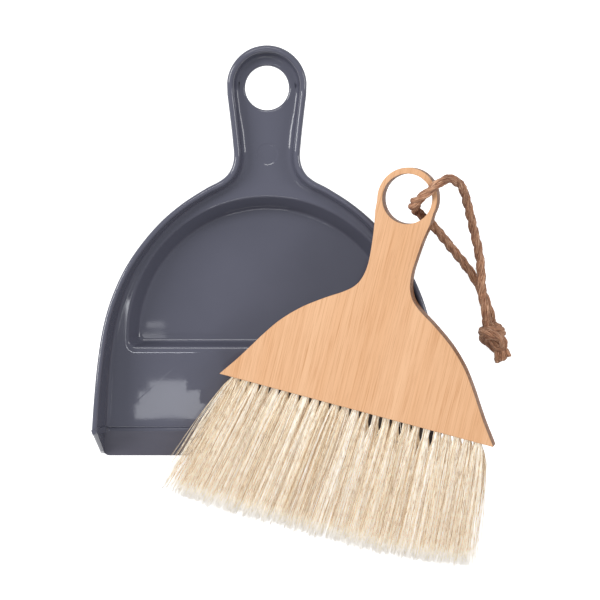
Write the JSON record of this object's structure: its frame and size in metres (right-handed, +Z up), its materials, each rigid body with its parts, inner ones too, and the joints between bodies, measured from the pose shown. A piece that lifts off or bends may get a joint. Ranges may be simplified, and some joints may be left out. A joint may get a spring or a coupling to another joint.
{
  "type": "dustpan and brush",
  "caption": "Plastic dustpan with a sunk dust well, soft front lip and channel handle, and a wooden hand brush with natural bristles and a cord loop, lying across it.",
  "frame": {"origin": "on the surface that the pan stands on, under the middle of the pan's flat base", "axes": "+Z up, +Y from the lip towards the end of the pan's handle, +X to the right when looking along +Y; the pan is symmetric about X = 0"},
  "size_m": [0.2994, 0.3637, 0.0727],
  "materials": {
    "slate_plastic": "smooth glossy moulded plastic, slate grey with a faint violet cast",
    "slate_soft_lip": "matt soft plastic",
    "pale_wood": "pale close-grained wood, clear satin finish",
    "cream_bristle": "cream natural bristle, slightly glossy strands",
    "brown_jute": "three-strand twisted jute, matt and hairy"
  },
  "bodies": {
    "pan": {"dustpan_shell": "slate_plastic", "front_lip": "slate_soft_lip"},
    "brush": {"brush_block": "pale_wood", "tuft_front_01": "cream_bristle", "tuft_front_02": "cream_bristle", "tuft_front_03": "cream_bristle", "tuft_front_04": "cream_bristle", "tuft_front_05": "cream_bristle", "tuft_front_06": "cream_bristle", "tuft_front_07": "cream_bristle", "tuft_front_08": "cream_bristle", "tuft_front_09": "cream_bristle", "tuft_front_10": "cream_bristle", "tuft_front_11": "cream_bristle", "tuft_front_12": "cream_bristle", "tuft_front_13": "cream_bristle", "tuft_front_14": "cream_bristle", "tuft_front_15": "cream_bristle", "tuft_front_16": "cream_bristle", "tuft_front_17": "cream_bristle", "tuft_front_18": "cream_bristle", "tuft_front_19": "cream_bristle", "tuft_front_20": "cream_bristle", "tuft_front_21": "cream_bristle", "tuft_front_22": "cream_bristle", "tuft_front_23": "cream_bristle", "tuft_front_24": "cream_bristle", "tuft_front_25": "cream_bristle", "tuft_back_01": "cream_bristle", "tuft_back_02": "cream_bristle", "tuft_back_03": "cream_bristle", "tuft_back_04": "cream_bristle", "tuft_back_05": "cream_bristle", "tuft_back_06": "cream_bristle", "tuft_back_07": "cream_bristle", "tuft_back_08": "cream_bristle", "tuft_back_09": "cream_bristle", "tuft_back_10": "cream_bristle", "tuft_back_11": "cream_bristle", "tuft_back_12": "cream_bristle", "tuft_back_13": "cream_bristle", "tuft_back_14": "cream_bristle", "tuft_back_15": "cream_bristle", "tuft_back_16": "cream_bristle", "tuft_back_17": "cream_bristle", "tuft_back_18": "cream_bristle", "tuft_back_19": "cream_bristle", "tuft_back_20": "cream_bristle", "tuft_back_21": "cream_bristle", "tuft_back_22": "cream_bristle", "tuft_back_23": "cream_bristle", "tuft_back_24": "cream_bristle", "tuft_back_25": "cream_bristle"},
    "lanyard": {"lanyard_cord": "brown_jute", "lanyard_knot": "brown_jute"}
  },
  "joints": [
    {"name": "brush_lift", "type": "slide", "parent": "pan", "child": "brush", "axis": [0, 0, 1], "range_m": [0, 0.12]},
    {"name": "lanyard_swing", "type": "hinge", "parent": "brush", "child": "lanyard", "pos_m": [0.11463, 0.05522, 0.05504], "axis": [-0.2352, -0.9666, -0.1015], "range_deg": [0, 30]}
  ]
}
